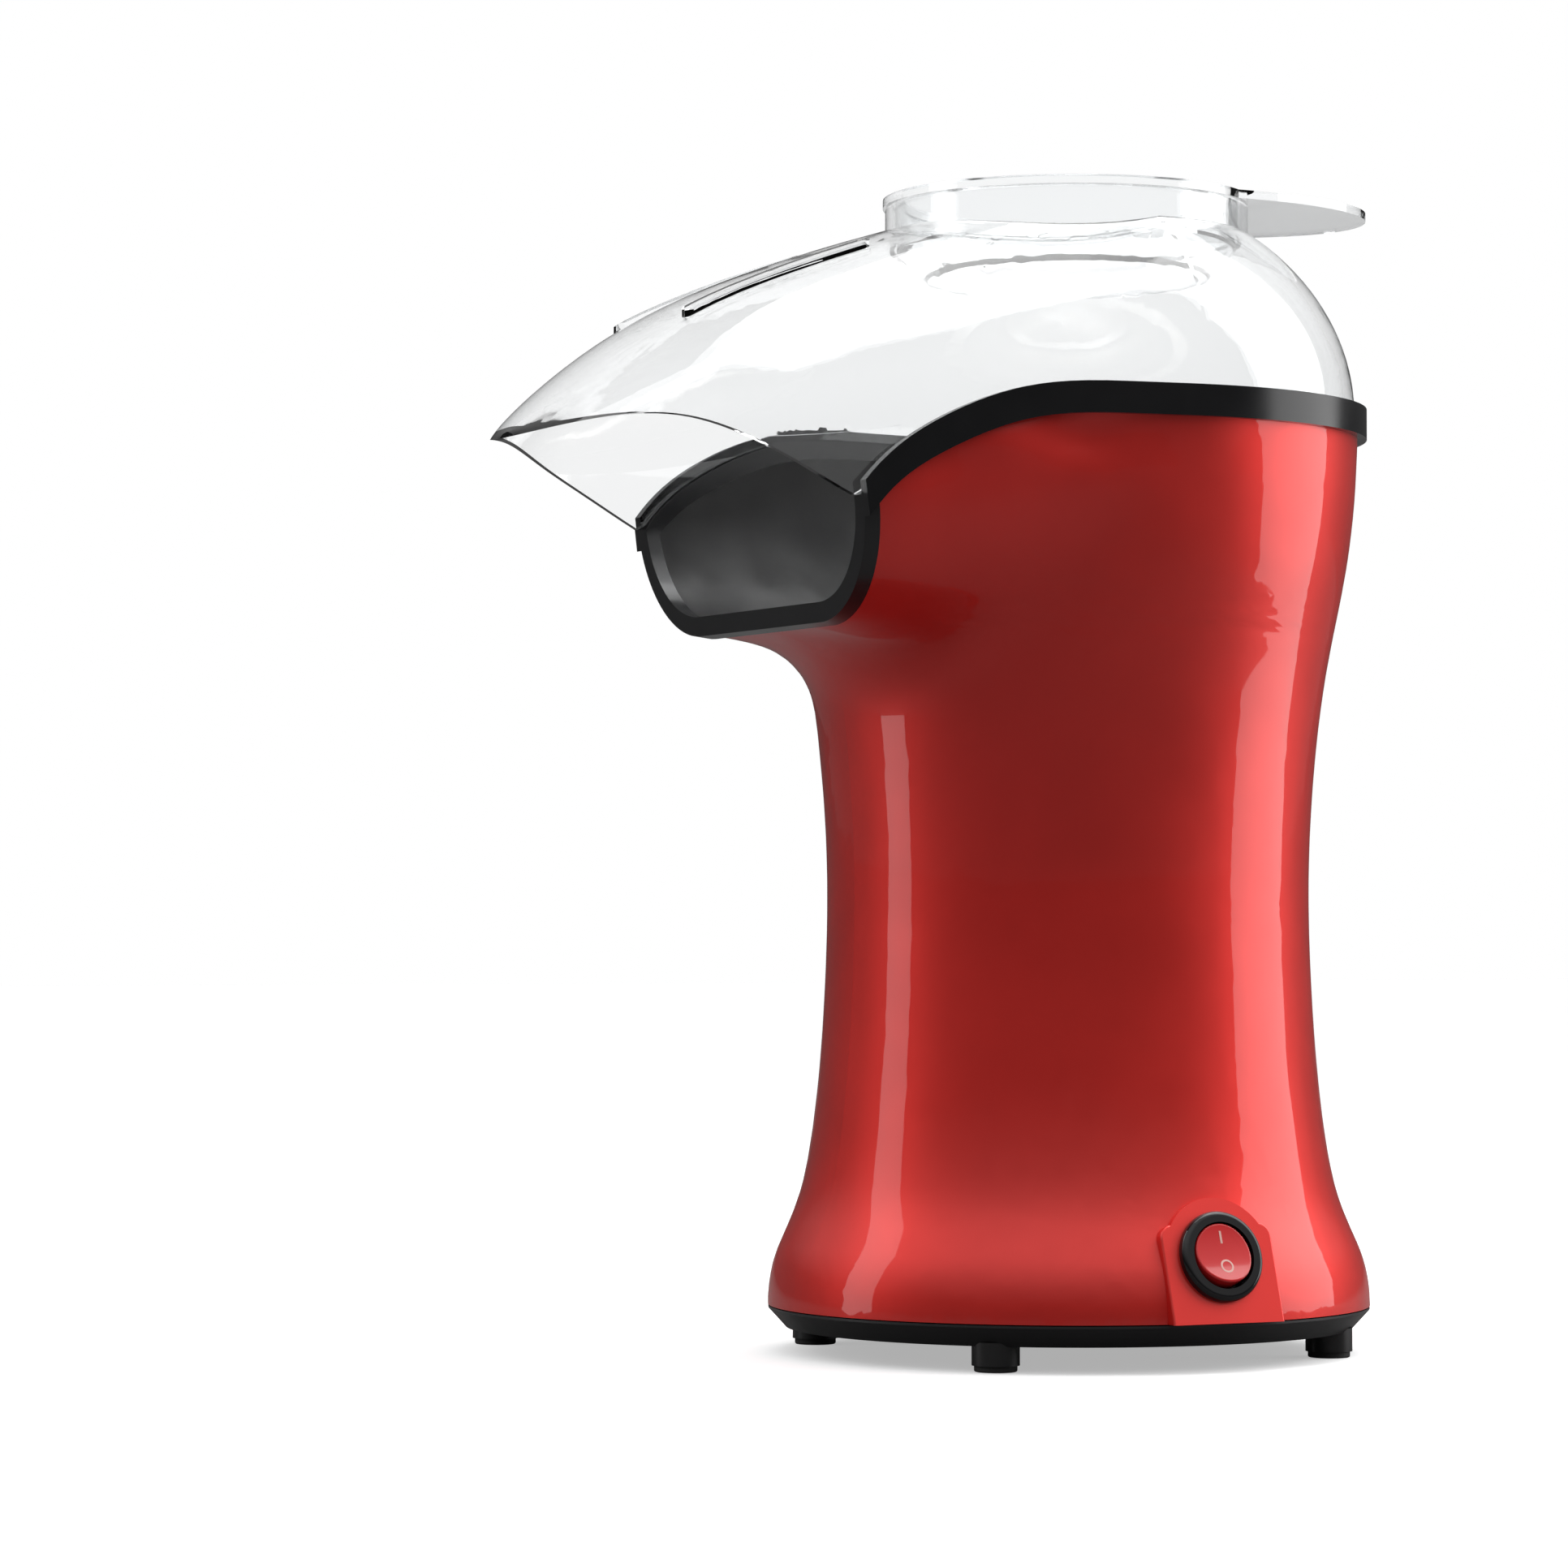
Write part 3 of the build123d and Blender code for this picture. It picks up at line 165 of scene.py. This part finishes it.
# see-through moulding
def clear(name, look):
    material, tree, shader = startFinish(name)
    shader.inputs["Base Color"].default_value = (*look["tint"], 1)
    smudge = pattern(tree, look["smudgeScale"], detail=5.0)
    spread(tree, smudge, look["gloss"][0], look["gloss"][1], shader.inputs["Roughness"],
           finishHabits["smudgeLow"], finishHabits["smudgeHigh"])
    ripple = pattern(tree, look["rippleScale"], detail=1.0)
    relief(tree, shader, [(ripple, look["ripple"])])
    shader.inputs["Transmission Weight"].default_value = 1.0
    shader.inputs["IOR"].default_value = look["bend"]
    return material


def paint(piece, material):
    piece.data.materials.clear()
    piece.data.materials.append(material)
    for face in piece.data.polygons:
        face.material_index = 0


# the housing is a metal-flake red under clear lacquer: bright towards the lights, dark face on
housingLook = {
    "colour": (0.86, 0.036, 0.028),
    "shade": (0.80, 0.031, 0.024),
    "gloss": (0.44, 0.50),
    "grain": 0.000002,
    "grainScale": 2600.0,
    "ripple": 0.000008,
    "rippleScale": 26.0,
    "flake": 0.70,
    "coat": 0.75,
}
paint(nodes["outer_housing"], moulded("glossRed", housingLook))

# the black band with its lip, the base and the liner
bandLook = {
    "colour": (0.009, 0.009, 0.010),
    "shade": (0.013, 0.013, 0.014),
    "gloss": (0.17, 0.24),
    "grain": 0.000003,
    "grainScale": 1800.0,
}
paint(nodes["trim_ring"], moulded("satinBlackBand", bandLook))

baseLook = {
    "colour": (0.014, 0.014, 0.015),
    "shade": (0.020, 0.020, 0.021),
    "gloss": (0.30, 0.42),
    "grain": 0.000012,
    "grainScale": 1500.0,
}
paint(nodes["base_plate"], moulded("satinBlackBase", baseLook))

linerLook = {
    "colour": (0.008, 0.008, 0.008),
    "shade": (0.013, 0.012, 0.012),
    "gloss": (0.46, 0.60),
    "grain": 0.00001,
    "grainScale": 1200.0,
}
paint(nodes["spout_liner"], moulded("heatProofBlack", linerLook))

# the clear hood and cup
hoodLook = {
    "tint": (0.965, 0.972, 0.975),
    "gloss": (0.01, 0.05),
    "smudgeScale": 30.0,
    "ripple": 0.000012,
    "rippleScale": 22.0,
    "bend": 1.49,
}
paint(nodes["hood"], clear("clearHood", hoodLook))

cupLook = {
    "tint": (0.955, 0.965, 0.970),
    "gloss": (0.01, 0.06),
    "smudgeScale": 42.0,
    "ripple": 0.000010,
    "rippleScale": 30.0,
    "bend": 1.49,
}
paint(nodes["measuring_cup"], clear("clearCup", cupLook))

print("housing, band, base, hood and cup finished")

# the round switch
bezelLook = {
    "colour": (0.006, 0.006, 0.007),
    "shade": (0.009, 0.009, 0.010),
    "gloss": (0.05, 0.10),
    "grain": 0.000001,
}
paint(nodes["switch_bezel"], moulded("glossBlackBezel", bezelLook))

rockerLook = {
    "colour": (0.72, 0.020, 0.022),
    "shade": (0.62, 0.012, 0.016),
    "gloss": (0.08, 0.14),
    "grain": 0.000002,
    "coat": 0.3,
}
paint(nodes["switch_rocker"], moulded("lampRedRocker", rockerLook))

# the marks printed on the rocker: a bar at the top, a ring below it
markLook = {
    "colour": (0.86, 0.50, 0.44),
    "shade": (0.80, 0.44, 0.38),
    "gloss": (0.30, 0.42),
    "grain": 0.000002,
    "barUp": 0.0042,
    "barSize": (0.0006, 0.0032),
    "barCuts": 3,
    "ringUp": -0.0034,
    "ringRadius": 0.0018,
    "ringWidth": 0.0005,
    "ringSides": 56,
    "thick": 0.00012,
    "edge": 0.00003,
    "tilt": 25.0,            # the rocker leans back with its top pressed in
    "dishDepth": 0.0032,
    "dishRadius": 0.03435,
}
rockerPivot = Vector([j for j in frame["joints"] if j["name"] == "rocker_tilt"][0]["pos_m"])
markFinish = moulded("printedMark", markLook)


# lays a flat mark, drawn round the origin, on the dished rocker
def layOnRocker(piece, up):
    lean = math.radians(markLook["tilt"]) - up / markLook["dishRadius"]
    depth = markLook["dishDepth"] + up * up / 2 / markLook["dishRadius"]
    tilt = math.radians(markLook["tilt"])
    outward = Vector((math.cos(tilt), 0, math.sin(tilt)))
    upward = Vector((-math.sin(tilt), 0, math.cos(tilt)))
    piece.location = rockerPivot + outward * depth + upward * up
    piece.rotation_euler = (math.pi / 2 - lean, 0, math.pi / 2)
    makeActive(piece)
    bpy.ops.object.transform_apply(location=True, rotation=True, scale=True)


# gives a flat mark its thickness and a softened edge
def thicken(piece, thick, edge):
    solid = piece.modifiers.new("thick", "SOLIDIFY")
    solid.thickness = thick
    solid.offset = 0.0
    rounding = piece.modifiers.new("edge", "BEVEL")
    rounding.width = edge
    rounding.segments = 2
    applyModifiers(piece)


deselectAll()
bpy.ops.mesh.primitive_plane_add(size=1, location=(0, 0, 0))
bar = bpy.context.object
bar.name = "rocker_mark_bar"
bpy.ops.object.mode_set(mode="EDIT")
bpy.ops.transform.resize(value=(markLook["barSize"][0], markLook["barSize"][1], 1))
bpy.ops.mesh.subdivide(number_cuts=markLook["barCuts"])
bpy.ops.object.mode_set(mode="OBJECT")
thicken(bar, markLook["thick"], markLook["edge"])

deselectAll()
bpy.ops.mesh.primitive_circle_add(
    vertices=markLook["ringSides"], radius=markLook["ringRadius"], fill_type="NGON")
ring = bpy.context.object
ring.name = "rocker_mark_ring"
bpy.ops.object.mode_set(mode="EDIT")
bpy.ops.mesh.select_mode(type="FACE")
bpy.ops.mesh.select_all(action="SELECT")
bpy.ops.mesh.inset(thickness=markLook["ringWidth"])
bpy.ops.mesh.delete(type="FACE")
bpy.ops.object.mode_set(mode="OBJECT")
thicken(ring, markLook["thick"], markLook["edge"])

for mark, up in ((bar, markLook["barUp"]), (ring, markLook["ringUp"])):
    layOnRocker(mark, up)
    paint(mark, markFinish)
    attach(mark, "rocker")
print("rocker marks laid")

# the smaller parts take a finish each

plainLooks = {
    "foot_pads": (moulded, "footRubber", {
        "colour": (0.018, 0.018, 0.018), "shade": (0.032, 0.031, 0.030),
        "gloss": (0.62, 0.80), "grain": 0.00004, "grainScale": 1100.0}),
    "base_screws": (metal, "zincBaseScrew", {
        "colour": (0.62, 0.62, 0.64), "shade": (0.50, 0.50, 0.50),
        "gloss": (0.24, 0.40), "grain": 0.000006}),
    "duct_screws": (metal, "zincDuctScrew", {
        "colour": (0.60, 0.60, 0.61), "shade": (0.47, 0.46, 0.44),
        "gloss": (0.26, 0.44), "grain": 0.000006}),
    "switch_terminals": (metal, "tinnedBrass", {
        "colour": (0.74, 0.62, 0.36), "shade": (0.60, 0.50, 0.30),
        "gloss": (0.22, 0.36), "grain": 0.000004}),
    "cord_gland": (moulded, "glandBlack", {
        "colour": (0.020, 0.020, 0.020), "shade": (0.028, 0.028, 0.028),
        "gloss": (0.48, 0.62), "grain": 0.00002, "grainScale": 1300.0}),
    "popping_chamber": (metal, "spunAluminium", {
        "colour": (0.78, 0.78, 0.77), "shade": (0.66, 0.63, 0.58),
        "gloss": (0.22, 0.38), "grain": 0.00001, "stretch": (1, 1, 30)}),
    "chamber_screws": (metal, "zincChamberScrew", {
        "colour": (0.62, 0.62, 0.63), "shade": (0.49, 0.48, 0.46),
        "gloss": (0.24, 0.42), "grain": 0.000006}),
    "air_duct": (moulded, "heatProofDuctResin", {
        "colour": (0.085, 0.075, 0.066), "shade": (0.065, 0.058, 0.052),
        "gloss": (0.44, 0.60), "grain": 0.00002, "grainScale": 1200.0}),
    "motor_plate": (metal, "pressedMotorPlate", {
        "colour": (0.58, 0.58, 0.60), "shade": (0.50, 0.50, 0.50),
        "gloss": (0.30, 0.46), "grain": 0.00001, "stretch": (8, 1, 1)}),
    "motor_can": (metal, "drawnMotorCan", {
        "colour": (0.64, 0.64, 0.66), "shade": (0.55, 0.55, 0.56),
        "gloss": (0.20, 0.32), "grain": 0.000008, "stretch": (10, 10, 1)}),
    "motor_screws": (metal, "blackenedScrew", {
        "colour": (0.20, 0.20, 0.21), "shade": (0.14, 0.14, 0.14),
        "gloss": (0.30, 0.44), "grain": 0.000005}),
    "motor_cap": (moulded, "whiteNylonCap", {
        "colour": (0.72, 0.70, 0.64), "shade": (0.66, 0.63, 0.57),
        "gloss": (0.36, 0.50), "grain": 0.00001}),
    "motor_magnets": (moulded, "greyFerrite", {
        "colour": (0.045, 0.045, 0.050), "shade": (0.070, 0.068, 0.070),
        "gloss": (0.50, 0.68), "grain": 0.00003, "grainScale": 1600.0}),
    "motor_shaft": (metal, "groundShaft", {
        "colour": (0.66, 0.66, 0.67), "shade": (0.60, 0.60, 0.60),
        "gloss": (0.12, 0.20), "grain": 0.000002}),
    "impeller": (metal, "stampedFan", {
        "colour": (0.72, 0.72, 0.73), "shade": (0.62, 0.62, 0.62),
        "gloss": (0.24, 0.40), "grain": 0.000008}),
    "rectifier_board": (moulded, "phenolicBoard", {
        "colour": (0.30, 0.16, 0.060), "shade": (0.24, 0.12, 0.045),
        "gloss": (0.40, 0.55), "grain": 0.00001, "cloudScale": 240.0}),
    "rectifier_diodes": (moulded, "diodeEpoxy", {
        "colour": (0.022, 0.022, 0.024), "shade": (0.034, 0.034, 0.036),
        "gloss": (0.34, 0.48), "grain": 0.00001}),
    "heater_coil": (metal, "heatTintedWire", {
        "colour": (0.34, 0.30, 0.27), "shade": (0.22, 0.19, 0.20),
        "gloss": (0.34, 0.56), "grain": 0.000004}),
    "mica_frame": (moulded, "micaSheet", {
        "colour": (0.46, 0.40, 0.29), "shade": (0.62, 0.56, 0.44),
        "gloss": (0.16, 0.40), "grain": 0.00002, "grainScale": 420.0, "cloudScale": 150.0}),
    "thermal_fuse": (metal, "fuseBrass", {
        "colour": (0.72, 0.66, 0.52), "shade": (0.58, 0.52, 0.40),
        "gloss": (0.22, 0.34), "grain": 0.000003}),
    "thermostat": (moulded, "thermostatPhenolic", {
        "colour": (0.055, 0.035, 0.022), "shade": (0.080, 0.050, 0.032),
        "gloss": (0.36, 0.50), "grain": 0.000012}),
}
for nodeName, (build, finishName, look) in plainLooks.items():
    paint(nodes[nodeName], build(finishName, look))

# armature: lacquered copper, wound in fine turns, with painted shade in the grooves between the turns
armatureLook = {
    "colour": (0.70, 0.27, 0.12),
    # the darker colour is painted shade, laid in the grooves between the turns
    "shade": (0.46, 0.15, 0.07),
    "gloss": (0.22, 0.34),
    "turns": 900.0,
    "grooveShadeEdges": (0.1, 0.6),
    "depth": 0.00008,
    "smudgeScale": 160.0,
}


def woundCopper(name, look):
    material, tree, shader = startFinish(name)
    turns = pattern(tree, look["turns"], kind="waves", detail=1.0)
    # the darker colour sits where the bumped turns dip: painted shade in the grooves between the turns
    twoColours(tree, turns, look["shade"], look["colour"], shader.inputs["Base Color"], *look["grooveShadeEdges"])
    smudge = pattern(tree, look["smudgeScale"])
    spread(tree, smudge, look["gloss"][0], look["gloss"][1], shader.inputs["Roughness"])
    relief(tree, shader, [(turns, look["depth"])])
    shader.inputs["Metallic"].default_value = 1.0
    return material


paint(nodes["armature"], woundCopper("woundCopper", armatureLook))
print("finishes set")


# white where the lens sees it, straight or through clear parts, and dimmer where it is mirrored
def whiteWhereSeen(tree, mirroredShader, seenShader, output):
    rays = tree.nodes.new("ShaderNodeLightPath")
    either = tree.nodes.new("ShaderNodeMath")
    either.operation = "MAXIMUM"
    tree.links.new(rays.outputs["Is Camera Ray"], either.inputs[0])
    tree.links.new(rays.outputs["Is Transmission Ray"], either.inputs[1])
    choose = tree.nodes.new("ShaderNodeMixShader")
    tree.links.new(either.outputs[0], choose.inputs["Fac"])
    tree.links.new(mirroredShader, choose.inputs[1])
    tree.links.new(seenShader, choose.inputs[2])
    tree.links.new(choose.outputs["Shader"], output.inputs["Surface"])


# the pale floor sweep
stageLook = {
    "half": 9.0,
    "colour": (0.80, 0.80, 0.80),
    "shade": (0.78, 0.78, 0.785),
    "lift": 0.42,       # glow that keeps the sweep white to the horizon
    "mirrored": 0.16,   # how pale the sweep is where the object mirrors it
    "roughness": 0.9,
    "cloudScale": 3.0,
}
deselectAll()
bpy.ops.mesh.primitive_plane_add(size=2 * stageLook["half"], location=(0, 0, 0))
floorSheet = bpy.context.object
floorSheet.name = "studio_floor"
floorMaterial, floorTree, floorShader = startFinish("paleSweep")
twoColours(floorTree, pattern(floorTree, stageLook["cloudScale"]), stageLook["colour"],
           stageLook["shade"], floorShader.inputs["Base Color"])
floorShader.inputs["Roughness"].default_value = stageLook["roughness"]
floorShader.inputs["Specular IOR Level"].default_value = 0.0
floorShader.inputs["Emission Color"].default_value = (1, 1, 1, 1)
floorShader.inputs["Emission Strength"].default_value = stageLook["lift"]
dimFloor = floorTree.nodes.new("ShaderNodeBsdfDiffuse")
dimFloor.inputs["Color"].default_value = (*[stageLook["mirrored"]] * 3, 1)
floorOutput = [n for n in floorTree.nodes if n.type == "OUTPUT_MATERIAL"][0]
whiteWhereSeen(floorTree, dimFloor.outputs["BSDF"], floorShader.outputs["BSDF"], floorOutput)
paint(floorSheet, floorMaterial)

# a long lens, level with the waist, turned a little off the body's axis
cameraLook = {
    "azimuth": 60.0,
    "distance": 1.344,
    "height": 0.1084,
    "axisY": 0.036,
    "turnLeft": 3.15,
    "tiltUp": 1.66,
    "lens": 118.16,
    "sensor": 36.0,
}
around = math.radians(cameraLook["azimuth"])
toCamera = Vector((math.sin(around), -math.cos(around), 0))
toRight = Vector((math.cos(around), math.sin(around), 0))
bodyCentre = Vector((0, cameraLook["axisY"], 0))
cameraData = bpy.data.cameras.new("studioCamera")
cameraData.sensor_width = cameraLook["sensor"]
cameraData.lens = cameraLook["lens"]
camera = bpy.data.objects.new("studioCamera", cameraData)
camera.location = bodyCentre + toCamera * cameraLook["distance"]
camera.location.z = cameraLook["height"]
camera.rotation_euler = (
    math.radians(90 + cameraLook["tiltUp"]),
    0,
    around + math.radians(cameraLook["turnLeft"]),
)
bpy.context.scene.collection.objects.link(camera)
bpy.context.scene.camera = camera

# soft boxes stand round the body, by their angle from the lens
lampAim = 0.16
softboxes = {
    "rightBox": {"angle": 100, "far": 0.7, "width": 0.62, "tall": 1.6, "height": 0.55, "watts": 7.4},
    "leftBox": {"angle": -84, "far": 0.7, "width": 0.24, "tall": 1.6, "height": 0.55, "watts": 2.4},
    "topBox": {"angle": 150, "far": 0.35, "width": 1.2, "tall": 1.2, "height": 1.5, "watts": 9.0},
}
for boxName, box in softboxes.items():
    turn = math.radians(box["angle"])
    place = bodyCentre + (toCamera * math.cos(turn) + toRight * math.sin(turn)) * box["far"]
    place.z = box["height"]
    boxData = bpy.data.lights.new(boxName, "AREA")
    boxData.shape = "RECTANGLE"
    boxData.size = box["width"]
    boxData.size_y = box["tall"]
    boxData.energy = box["watts"]
    lamp = bpy.data.objects.new(boxName, boxData)
    lamp.visible_camera = False
    lamp.location = place
    target = bodyCentre + Vector((0, 0, lampAim))
    lamp.rotation_euler = (target - place).to_track_quat("-Z", "Y").to_euler()
    bpy.context.scene.collection.objects.link(lamp)

# a studio room: white where it is seen, darker at eye level where it is mirrored
roomLook = {"seen": 1.0, "low": 0.06, "high": 0.95, "from": 0.15, "to": 0.75}
world = bpy.data.worlds.new("studioRoom")
bpy.context.scene.world = world
world.use_nodes = True
room = world.node_tree
room.nodes.clear()
roomOut = room.nodes.new("ShaderNodeOutputWorld")
seen = room.nodes.new("ShaderNodeBackground")
seen.inputs["Color"].default_value = (1, 1, 1, 1)
seen.inputs["Strength"].default_value = roomLook["seen"]
mirrored = room.nodes.new("ShaderNodeBackground")
mirrored.inputs["Color"].default_value = (1, 1, 1, 1)
roomPlace = room.nodes.new("ShaderNodeTexCoord")
roomSplit = room.nodes.new("ShaderNodeSeparateXYZ")
room.links.new(roomPlace.outputs["Generated"], roomSplit.inputs["Vector"])
spread(room, roomSplit.outputs["Z"], roomLook["low"], roomLook["high"],
       mirrored.inputs["Strength"], roomLook["from"], roomLook["to"])
whiteWhereSeen(room, mirrored.outputs["Background"], seen.outputs["Background"], roomOut)
bpy.context.scene.view_settings.view_transform = "Standard"
print("stage, light and camera set")
